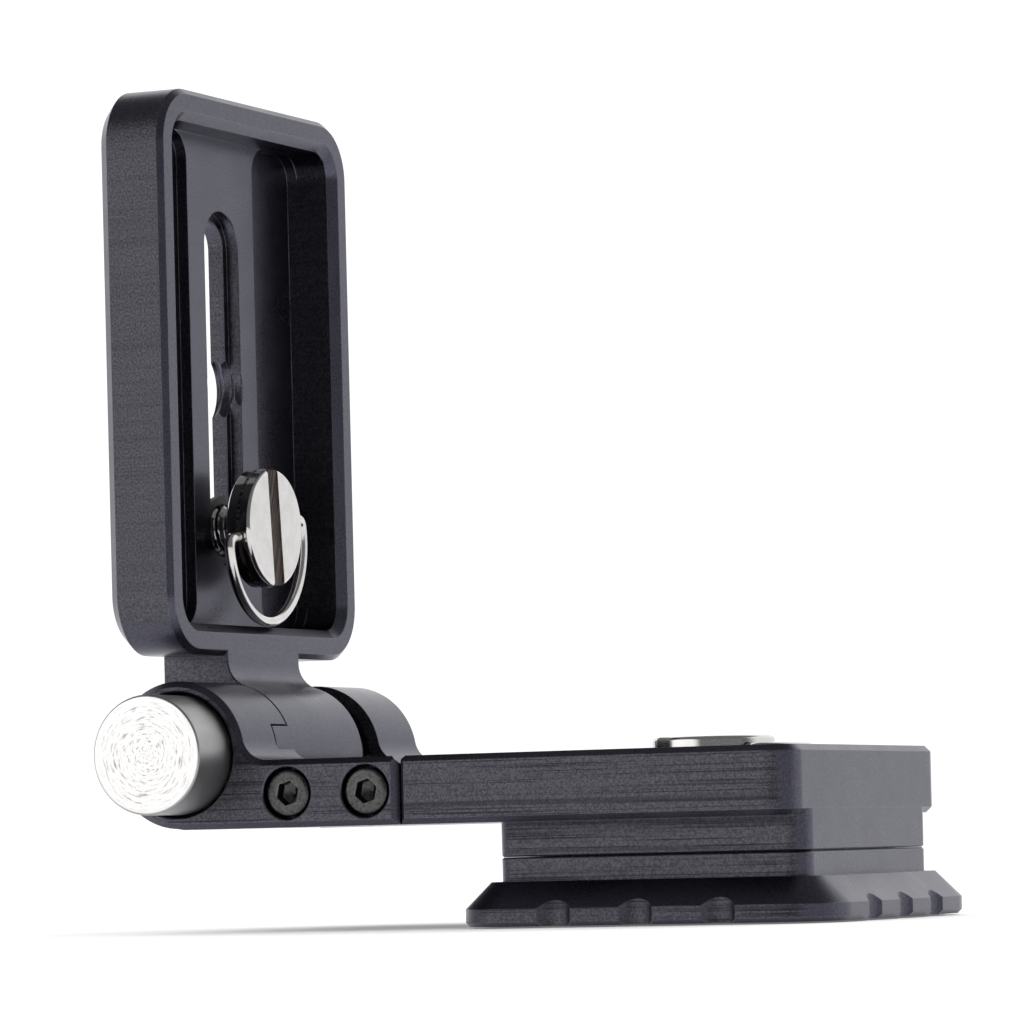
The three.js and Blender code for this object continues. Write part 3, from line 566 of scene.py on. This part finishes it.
def ear_outline(inset):
    """Side view of the barrel, its hollow fillet and the arm, as (x, z)."""
    top = ARM_TOP - inset
    bottom = ARM_BOTTOM + inset
    radius = BARREL_R - inset
    fillet_z = ARM_TOP + FILLET_R
    rise = fillet_z - HZ
    reach = BARREL_R + FILLET_R
    fillet_x = HX + math.sqrt(reach * reach - rise * rise)
    lean = math.atan2(rise, fillet_x - HX)
    points = [(JOIN_X, bottom), (JOIN_X, top)]
    for i in range(19):
        angle = -math.pi / 2 + (lean - math.pi / 2) * i / 18
        points.append(polar((fillet_x, fillet_z), FILLET_R + inset, angle))
    last = 1.5 * math.pi - 0.05
    for i in range(1, 73):
        angle = lean + (last - lean) * i / 72
        points.append(polar(AXIS, radius, angle))
    points.append((HX + 0.5, bottom))
    return points


def plate_outline(inset):
    """Plan of the arm beyond the ears, as (x, y), square where it joins them."""
    r = ARM_CORNER_R - inset
    points = [(JOIN_X, ARM_HALF - inset), (JOIN_X, -ARM_HALF + inset)]
    for cy, start in ((-ARM_HALF + ARM_CORNER_R, -90), (ARM_HALF - ARM_CORNER_R, 0)):
        for i in range(13):
            angle = math.radians(start + 90 * i / 12)
            points.append(polar((ARM_END - ARM_CORNER_R, cy), r, angle))
    return points


def without_cap(obj, x):
    """Opens a solid by taking off the faces that lie in the plane x, in mm."""
    bm = bmesh.new()
    bm.from_mesh(obj.data)
    flat = [f for f in bm.faces if all(abs(v.co.x - x * MM) < 1e-7 for v in f.verts)]
    bmesh.ops.delete(bm, geom=flat, context="FACES")
    bm.to_mesh(obj.data)
    bm.free()
    return obj


def arm_blank(name):
    c = ARM_CHAMFER
    ears = loft(name, "y", [
        (-ARM_HALF, ear_outline(c)), (-ARM_HALF + c, ear_outline(0)),
        (ARM_HALF - c, ear_outline(0)), (ARM_HALF, ear_outline(c))])
    plate = loft("plate", "z", [
        (ARM_BOTTOM, plate_outline(c)), (ARM_BOTTOM + c, plate_outline(0)),
        (ARM_TOP - c, plate_outline(0)), (ARM_TOP, plate_outline(c))])
    for half in (ears, plate):
        without_cap(half, JOIN_X)
    bm = bmesh.new()
    bm.from_mesh(ears.data)
    bm.from_mesh(plate.data)
    bmesh.ops.remove_doubles(bm, verts=bm.verts, dist=0.002 * MM)
    bmesh.ops.recalc_face_normals(bm, faces=bm.faces)
    bm.to_mesh(ears.data)
    bm.free()
    bpy.data.objects.remove(plate)
    return ears


def groove_tools():
    """The V round the split, on the front face and across the top."""
    g = 0.85
    vee = [(CHEEK_END - g - 1, -1), (CHEEK_END + g + 1, -1), (CHEEK_END, g)]
    front = loft("tool", "z", [(z, [(x, -ARM_HALF + d) for x, d in vee])
                               for z in (ARM_BOTTOM - 1, ARM_TOP + 1)])
    top = loft("tool", "y", [(y, [(x, ARM_TOP - d) for x, d in vee])
                             for y in (-ARM_HALF - 1, CHEEK_INNER)])
    return [front, top]


def hinge_rod(radius, y0, y1, steps=96):
    return rod("y", AXIS, radius, y0, y1, steps)


def sector(inner, outer, low, high, y0, y1):
    """Part of a ring round the hinge axis, between two angles from +X towards +Z."""
    steps = 48
    angles = [math.radians(low + (high - low) * i / steps) for i in range(steps + 1)]
    points = [polar(AXIS, outer, a) for a in angles]
    points += [polar(AXIS, inner, a) for a in reversed(angles)]
    return loft("tool", "y", [(y0, points), (y1, points)])


CAP_X = [(limits(f"cheek_screw_{i}")[0].x + limits(f"cheek_screw_{i}")[1].x) / 2 for i in (1, 2)]
CAP_Z = HZ - 4.85


def screw_holes(radius, y0, y1):
    return [rod("y", (x, CAP_Z), radius, y0, y1, 48) for x in CAP_X]


def countersunk(radius, y0, y1):
    """Counterbores with a small broken edge at their mouths."""
    return [lathe("tool", "y", (x, CAP_Z), [
        (0, y0 - 1), (radius + 1.15, y0 - 1), (radius, y0 + 0.15), (radius, y1), (0, y1)], 64)
        for x in CAP_X]


def riser_outline(inset):
    return rounded(BLOCK_X0, ARM_END - 0.01, -BLOCK_HALF, BLOCK_HALF, BLOCK_R, inset)


arm = arm_blank("arm_body_fine")
riser = loft("tool", "z", [
    (SEAM + SPLIT_GAP, riser_outline(SEAM_EDGE)),
    (SEAM + SPLIT_GAP + SEAM_EDGE, riser_outline(0)),
    (ARM_BOTTOM + 1, riser_outline(0))])
join(arm, riser)
cut(arm, *groove_tools(),
    box(HX - 20, CHEEK_END + 0.3, -ARM_HALF - 5, CHEEK_INNER + 0.3, -1, HZ + 20),
    hinge_rod(CLEAR_R, CHEEK_INNER - 1, REAR_EAR, 128),
    box(HX - 12, HX + 6, CHEEK_INNER - 1, REAR_EAR - 0.01, 0, HZ),
    box(HX - 12.1, HX + 13, CHEEK_INNER - 1, REAR_EAR - 0.02, ARM_TOP - 0.01, HZ + 12),
    lathe("tool", "y", AXIS, [(0, 12), (SPRING_BORE_R, 12), (SPRING_BORE_R, 16.5), (0, 16.5)]),
    hinge_rod(SHAFT_BORE_R, 16, 25),
    lathe("tool", "y", AXIS, [(0, 23.1), (5.65, 23.1), (5.65, ARM_HALF - 0.25),
                              (6.9, ARM_HALF + 1), (0, ARM_HALF + 1)]),
    lathe("tool", "z", (0, 0), [(0, ARM_TOP - 2.6), (12.6, ARM_TOP - 2.6), (12.6, ARM_TOP - 0.2),
                                (13.8, ARM_TOP + 1), (0, ARM_TOP + 1)], 160),
    rod("z", (0, 0), 3.5, SEAM - 1, ARM_TOP),
    *screw_holes(1.6, CHEEK_INNER - 1, CHEEK_INNER + 9.5))
dress(arm, "arm_body", "arm", ANODISED)

cheek = arm_blank("front_cheek_fine")
combine(cheek, "INTERSECT", [
    box(HX - 20, CHEEK_END, -ARM_HALF - 5, CHEEK_INNER, HZ - 20, HZ + 20)])
cut(cheek, *groove_tools(),
    lathe("tool", "y", AXIS, [(0, -ARM_HALF - 1), (BUTTON_BORE_R + 1.2, -ARM_HALF - 1),
                              (BUTTON_BORE_R, -ARM_HALF + 0.2), (BUTTON_BORE_R, -17), (0, -17)], 160),
    hinge_rod(SHAFT_BORE_R, -18, CHEEK_INNER + 1),
    sector(5.75, BARREL_R + 0.3, -140, 24, -15.35, CHEEK_INNER + 1),
    *countersunk(3.1, -ARM_HALF, -ARM_HALF + 3.35),
    *screw_holes(1.65, -ARM_HALF, CHEEK_INNER + 1))
dress(cheek, "front_cheek", "arm", ANODISED)

# --------------------------------------------------------------- foot plate


def foot_outline(offset):
    return rounded(BLOCK_X0, ARM_END, -BLOCK_HALF, BLOCK_HALF, BLOCK_R, -offset)


rim = DOVETAIL_STEP + DOVETAIL_RISE
rim_top = SHOULDER_Z - DOVETAIL_RISE
foot = loft("foot_plate_fine", "z", [
    (0, foot_outline(rim - FOOT_EDGE)), (FOOT_EDGE, foot_outline(rim)), (rim_top, foot_outline(rim)),
    (SHOULDER_Z, foot_outline(DOVETAIL_STEP)), (SHOULDER_Z + 0.01, foot_outline(0)),
    (SEAM - SPLIT_GAP - SEAM_EDGE, foot_outline(0)), (SEAM - SPLIT_GAP, foot_outline(-SEAM_EDGE))])
middle = (BLOCK_X0 + ARM_END) / 2
half_length = (ARM_END - BLOCK_X0) / 2
notch_reach = rim + NOTCH_R - NOTCH_DEPTH
notches = []
for i in (-1, 0, 1):
    for side in (-1, 1):
        across = (middle + i * NOTCH_PITCH, side * (BLOCK_HALF + notch_reach))
        along = (middle + side * (half_length + notch_reach), i * NOTCH_PITCH)
        notches.append(rod("z", across, NOTCH_R, -1, SHOULDER_Z + 1, 72))
        notches.append(rod("z", along, NOTCH_R, -1, SHOULDER_Z + 1, 72))
cut(foot, *notches, rod("z", (0, 0), 3.25, 1.5, SEAM + 1))
dress(foot, "foot_plate", "arm", ANODISED)

# --------------------------------------------------------------------- tray


def tray_outline(inset):
    return rounded(-TRAY_HALF, TRAY_HALF, TRAY_Z0, TRAY_Z1, TRAY_CORNER_R, inset, 14)


def neck_outline(inset):
    front = TRAY_FRONT - 0.01 - inset
    back = TRAY_BACK + 0.01 + inset
    radius = BARREL_R - inset
    hollow = 3.3
    fillet_x = TRAY_FRONT - 0.01 + hollow
    run = fillet_x - HX
    reach = BARREL_R + hollow
    fillet_z = HZ + math.sqrt(reach * reach - run * run)
    lean = math.atan2(fillet_z - HZ, run)
    rear = math.acos(max(-1.0, (back - HX) / radius))
    points = [(front, TRAY_Z0 + 2), (back, TRAY_Z0 + 2)]
    for i in range(97):
        angle = rear + (2 * math.pi + lean - rear) * i / 96
        points.append(polar(AXIS, radius, angle))
    for i in range(1, 17):
        angle = lean + math.pi - lean * i / 16
        points.append(polar((fillet_x, fillet_z), hollow + inset, angle))
    return points


def stadium(half, z0, z1):
    return rounded(-half, half, z0, z1, half - 0.001, 0.0, 20)


def tapped_hole(centre_z, radius, x0, x1, pitch):
    """A helical thread cut by a tool that overshoots both faces."""
    sides = 72
    rows = int((x1 - x0) / pitch * 10)
    verts = []
    for i in range(rows + 1):
        x = x0 + (x1 - x0) * i / rows
        for k in range(sides):
            phase = ((x - x0) / pitch - k / sides) % 1.0
            r = radius + 0.45 * (1 - abs(2 * phase - 1)) - 0.25
            verts.append((x, *polar((0, centre_z), r, 2 * math.pi * k / sides)))
    return mesh_object("tool", verts, tube_faces(rows + 1, sides))


tray = loft("tray_fine", "x", [
    (TRAY_BACK, tray_outline(TRAY_BACK_CHAMFER)), (TRAY_BACK + TRAY_BACK_CHAMFER, tray_outline(0)),
    (TRAY_FRONT - TRAY_FRONT_CHAMFER, tray_outline(0)), (TRAY_FRONT, tray_outline(TRAY_FRONT_CHAMFER))])
neck = loft("tool", "y", [
    (KNUCKLE_FRONT, neck_outline(KNUCKLE_EDGE)), (KNUCKLE_FRONT + KNUCKLE_EDGE, neck_outline(0)),
    (KNUCKLE_REAR - KNUCKLE_EDGE, neck_outline(0)), (KNUCKLE_REAR, neck_outline(KNUCKLE_EDGE))])
join(tray, neck)
lip = loft("tool", "x", [(TRAY_FRONT - 1.06, tray_outline(WALL)),
                         (TRAY_FRONT + 1, tray_outline(WALL - 2.06))])
floor_tool = loft("tool", "x", [(PAD_X, tray_outline(WALL)), (TRAY_FRONT, tray_outline(WALL))])
recess_tools = []
for side in (-1, 1):
    ys = sorted((side * PAD_HALF, side * (TRAY_HALF - WALL)))
    outline = rounded(ys[0], ys[1], TRAY_Z0 + WALL, TRAY_Z1 - WALL, 3.4)
    recess_tools.append(loft("tool", "x", [(POCKET_X, outline), (TRAY_FRONT - 1.2, outline)]))
slot_low = HZ + 23.5
slot_high = HZ + 67
wide = stadium(SLOT_STEP_HALF, slot_low, slot_high)
narrow = stadium(SLOT_HALF, slot_low + 1, slot_high - 1)
cut(tray, lip, floor_tool, *recess_tools)
cut(tray,
    loft("tool", "x", [(PAD_X - 1.6, wide), (PAD_X - 0.12, wide),
                       (PAD_X + 1.0, stadium(5.52, slot_low - 1.12, slot_high + 1.12))]),
    loft("tool", "x", [(TRAY_BACK - 1, narrow), (PAD_X, narrow)]))
cut(tray, tapped_hole(HZ + 45.6, TAPPED_R, TRAY_BACK - 0.5, PAD_X + 0.5, TAPPED_PITCH))
join(tray, sector(6, BARREL_R - 0.005, -40, 22.4, -15.05, KNUCKLE_FRONT + 1))
cut(tray,
    hinge_rod(SHAFT_BORE_R, -20, 20),
    hinge_rod(5.9, -20, KNUCKLE_FRONT + 1.75),
    hinge_rod(SPRING_BORE_R, 2.3, KNUCKLE_REAR + 1))
dress(tray, "tray", "tray", ANODISED_TRAY)

# -------------------------------------------------------------- hinge parts

button_face = button_low.y
button = lathe("release_button_fine", "y", AXIS, [
    (0, button_face), (6.72, button_face), (6.86, button_face + 0.03), (7.02, button_face + 0.16),
    (7.1, button_face + 0.38), (7.1, button_high.y - 0.3), (6.8, button_high.y),
    (4.08, button_high.y), (4.08, -28.1), (0, -28.1)], 192)
cut(button, rod("x", (-23, HZ), 1.05, HX - 20, HX + 20, 32))
dress(button, "release_button", "hinge_carriage", TURNED, 24.0)

cap = lathe("hinge_end_cap_fine", "y", AXIS, [
    (0, cap_low.y), (5.6, cap_low.y), (5.6, cap_high.y - 0.2), (5.4, cap_high.y), (0, cap_high.y)], 128)
cut(cap, *[lathe("tool", "y", (HX + s * 3.4, HZ), [(0, cap_high.y - 0.8), (0.7, cap_high.y - 0.8),
                                                   (0.7, cap_high.y - 0.1), (1.3, cap_high.y + 0.5),
                                                   (0, cap_high.y + 0.5)], 32) for s in (-1, 1)])
dress(cap, "hinge_end_cap", "arm", ANODISED)

for i, x in enumerate(CAP_X):
    low, high = limits(f"cheek_screw_{i + 1}")
    face = low.y
    screw = lathe(f"cheek_screw_{i + 1}_fine", "y", (x, CAP_Z), [
        (0, face), (2.3, face), (2.55, face + 0.06), (2.7, face + 0.2), (2.75, face + 0.42),
        (2.75, face + 3), (1.5, face + 3), (1.5, high.y - 0.4), (1.1, high.y), (0, high.y)], 72)
    hexagon = []
    for k in range(6):
        hexagon.append(polar((x, CAP_Z), SOCKET_R, math.radians(60 * k + 18)))
    shallow = [(x + (u - x) * 1.22, CAP_Z + (v - CAP_Z) * 1.22) for u, v in hexagon]
    tip = [(x + (u - x) * 0.05, CAP_Z + (v - CAP_Z) * 0.05) for u, v in hexagon]
    socket = loft("tool", "y", [(face - 0.2, shallow), (face + 0.12, hexagon),
                                (face + 1.6, hexagon), (face + 2.2, tip)])
    cut(screw, socket)
    dress(screw, f"cheek_screw_{i + 1}", "arm", OXIDE)

spring_points = []
spring_r = (spring_high.x - spring_low.x) / 2 - 0.55
for i in range(401):
    t = i / 400
    y = spring_low.y + SPRING_END + (spring_high.y - spring_low.y - 2 * SPRING_END) * t
    x, z = polar(AXIS, spring_r, 2 * math.pi * SPRING_TURNS * t)
    spring_points.append((x, y, z))
spring = sweep("return_spring_fine", spring_points, SPRING_WIRE_R, 16)
dress(spring, "return_spring", "arm", SPRING_STEEL, 60.0)
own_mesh(spring)

# ------------------------------------------------------------ D-ring screws


def threaded_rod(name, length, start, radius=3.15, pitch=1.27):
    """A shank along -z with a helical thread from start to its tip, about z, from z = 0."""
    sides = 64
    rows = [(-2.0, 0.0), (-start, 0.0)]
    count = int((length - start) / pitch * 12)
    for i in range(1, count + 1):
        rows.append((-(start + (length - start) * i / count), 1.0))
    verts = []
    for z, cutting in rows:
        run_out = min(1.0, (length + z) / 0.5, (-z - start) / 0.6 if cutting else 0.0)
        for k in range(sides):
            phase = (z / pitch - k / sides) % 1.0
            ridge = max(0.0, 1 - abs(2 * phase - 1) * 1.25)
            depth = 0.5 * cutting * (1 - ridge) * max(0.0, run_out)
            tip = 0.45 * max(0.0, 1 - (length + z) / 0.45)
            r = radius - max(depth, tip)
            angle = 2 * math.pi * k / sides
            verts.append((r * math.cos(angle), r * math.sin(angle), z))
    return mesh_object(name, verts, tube_faces(len(rows), sides))


def ring_screw(name, length, coin_angle):
    """Head face at z = 0, shank down -z, ring pivots along x."""
    head = lathe(name, "z", (0, 0), [
        (0, -HEAD_H), (HEAD_R - 0.25, -HEAD_H), (HEAD_R, -HEAD_H + 0.25), (HEAD_R, -0.45),
        (HEAD_R - 0.06, -0.3), (HEAD_R - 0.18, -0.13), (HEAD_R - 0.36, -0.03),
        (HEAD_R - 0.6, 0), (0, 0)], 160)
    join(head, threaded_rod("tool", length, HEAD_H + 1.6))
    a = math.radians(coin_angle)
    corners = []
    for u, v in ((-9, -COIN_HALF), (9, -COIN_HALF), (9, COIN_HALF), (-9, COIN_HALF)):
        corners.append((u * math.cos(a) - v * math.sin(a), u * math.sin(a) + v * math.cos(a)))
    coin = loft("tool", "z", [(-COIN_DEPTH, corners), (1, corners)])
    pivots = [rod("x", (0, -HEAD_H / 2), 0.765, s, s + 3.0, 32) for s in (5.15, -8.15)]
    cut(head, coin, *pivots)
    return head


def ring_wire(name):
    level = -HEAD_H / 2
    half = 9.9
    drop = 11.4
    bend = 1.3
    end = HEAD_R - 1.9
    points = []
    for i in range(7):
        points.append((-end - (half - bend - end) * i / 6, 0.0))
    for i in range(1, 13):
        t = i / 12
        u = -((1 - t) ** 2 * (half - bend) + 2 * (1 - t) * t * half + t * t * half)
        points.append((u, -t * t * bend))
    for i in range(1, 97):
        angle = math.pi * (1 + i / 96)
        points.append((half * math.cos(angle), -bend + (drop - bend) * math.sin(angle)))
    mirrored = [(-u, v) for u, v in reversed(points[:18])]
    points += mirrored
    return sweep(name, [(u, v, level) for u, v in points], 0.67, 20)


def stand(obj, x_axis, y_axis, z_axis, at):
    """Moves a piece made about the origin, in mm, to its place, in its mesh."""
    matrix = Matrix((x_axis, y_axis, z_axis)).transposed().to_4x4()
    matrix.translation = Vector(at) * MM
    obj.data.transform(matrix)
    return obj


tilt = math.radians(10)
tray_axes = (Vector((0, math.cos(tilt), math.sin(tilt))),
             Vector((0, -math.sin(tilt), math.cos(tilt))), Vector((1, 0, 0)))
tray_face = (tray_screw_high.x, 0, SCREW_Z)
tray_length = tray_screw_high.x - tray_screw_low.x
tray_screw = stand(ring_screw("tray_screw_fine", tray_length, 85.3), *tray_axes, tray_face)
dress(tray_screw, "tray_screw", "tray_screw", SLOTTED)
tray_ring = stand(ring_wire("tray_screw_ring_fine"), *tray_axes, tray_face)
dress(tray_ring, "tray_screw_ring", "tray_screw_ring", PLATED, 60.0)

turn = math.radians(-34.5)
arm_axes = (Vector((-math.cos(turn), -math.sin(turn), 0)),
            Vector((math.sin(turn), -math.cos(turn), 0)), Vector((0, 0, 1)))
arm_face = (0, 0, arm_screw_high.z)
arm_length = arm_screw_high.z - arm_screw_low.z
arm_screw = stand(ring_screw("arm_screw_fine", arm_length, 90), *arm_axes, arm_face)
dress(arm_screw, "arm_screw", "arm_screw", PLATED)
arm_ring = stand(ring_wire("arm_screw_ring_fine"), *arm_axes, arm_face)
dress(arm_ring, "arm_screw_ring", "arm_screw_ring", PLATED, 60.0)

# -------------------------------------- CAD nodes that keep their own shape

finishes = {
    "hinge_shaft": TURNED, "button_cross_pin": SPRING_STEEL, "thrust_washer": SPRING_STEEL,
    "cheek_dowel_1": SPRING_STEEL, "cheek_dowel_2": SPRING_STEEL,
    "foot_dowel_1": SPRING_STEEL, "foot_dowel_2": SPRING_STEEL,
    "front_sleeve": BRONZE, "rear_sleeve": BRONZE,
    "knuckle_sleeve_front": BRONZE, "knuckle_sleeve_rear": BRONZE,
    "tray_screw_washer": NYLON, "arm_screw_washer": NYLON,
}
for node, material in finishes.items():
    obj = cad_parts[node]
    obj.data.materials.clear()
    obj.data.materials.append(material)

# ----------------------------------------------------- floor, light, camera

floor_mesh = bpy.data.meshes.new("floor")
floor_half = 6.0
floor_z = -0.0002
floor_mesh.from_pydata([(-floor_half, -floor_half, floor_z), (floor_half, -floor_half, floor_z),
                        (floor_half, floor_half, floor_z), (-floor_half, floor_half, floor_z)],
                       [], [(0, 1, 2, 3)])
floor = bpy.data.objects.new("floor", floor_mesh)
scene.collection.objects.link(floor)
pale, pn, pale_shader = new_material("pale_floor")
pale_noise = pn.noise(pn.add("ShaderNodeTexCoord").outputs["Object"], 40.0, 2.0)
pn.put(pale_shader.inputs["Base Color"], pn.mix(pale_noise, (0.93, 0.93, 0.93, 1), (0.95, 0.95, 0.95, 1)))
pale_shader.inputs["Roughness"].default_value = 0.7
pale_shader.inputs["Specular IOR Level"].default_value = 0.1
pale_shader.inputs["Emission Color"].default_value = (1.0, 1.0, 1.0, 1)
pale_shader.inputs["Emission Strength"].default_value = 0.15
floor.data.materials.append(pale)

CEILING_STRENGTH = 2.2
BACK_STRENGTH = 0.90
LEFT_STRENGTH = 1.5
AMBIENT_STRENGTH = 0.20

sky = bpy.data.lights.new("ceiling", "SUN")
sky.energy = CEILING_STRENGTH
sky.angle = math.radians(120)
ceiling = bpy.data.objects.new("ceiling", sky)
ceiling.location = (0, 0, 1)
ceiling.visible_glossy = False
scene.collection.objects.link(ceiling)

world = bpy.data.worlds.new("studio")
scene.world = world
world.use_nodes = True
w = Nodes(world.node_tree)
background = world.node_tree.nodes["Background"]
direction = w.parts(w.add("ShaderNodeTexCoord").outputs["Generated"])
behind = w.span(direction[1], -0.05, 0.40)
high_back = w.math("MULTIPLY", w.span(direction[2], 0.08, 0.40),
                   w.span(direction[2], 0.80, 0.55))
back_level = w.math("ADD", BACK_STRENGTH, w.math("MULTIPLY", high_back, 0.12))
overhead = w.span(direction[2], 0.62, 0.80)
back_light = w.math("MULTIPLY", behind, back_level)
back_light = w.math("MULTIPLY", back_light, w.math("SUBTRACT", 1.0, overhead))
left = Vector((-0.62, -0.78, 0.03)).normalized()
toward = w.math("ADD", w.math("MULTIPLY", direction[0], left.x),
                w.math("ADD", w.math("MULTIPLY", direction[1], left.y),
                       w.math("MULTIPLY", direction[2], left.z)))
left_light = w.math("MULTIPLY", w.span(toward, 0.80, 0.95), LEFT_STRENGTH)
total = w.math("ADD", w.math("ADD", back_light, left_light), AMBIENT_STRENGTH)
w.links.new(total, background.inputs["Strength"])
background.inputs["Color"].default_value = (1.0, 1.0, 1.0, 1)

camera_data = bpy.data.cameras.new("camera")
camera = bpy.data.objects.new("camera", camera_data)
scene.collection.objects.link(camera)
scene.camera = camera
azimuth = math.radians(24.39)
roll = 0.0243
camera_place = Vector((0.24473, -0.59808, 0.00985))
forward = Vector((-math.sin(azimuth), math.cos(azimuth), 0))
level_right = Vector((math.cos(azimuth), math.sin(azimuth), 0))
up = Vector((0, 0, 1))
right = level_right * math.cos(roll) - up * math.sin(roll)
top = up * math.cos(roll) + level_right * math.sin(roll)
pose = Matrix((right, top, -forward)).transposed().to_4x4()
pose.translation = camera_place
camera.matrix_world = pose
camera_data.sensor_width = 36
camera_data.lens = 192.33
camera_data.shift_y = 0.3216
camera_data.clip_start = 0.02
camera_data.clip_end = 40
scene.view_settings.view_transform = "Standard"
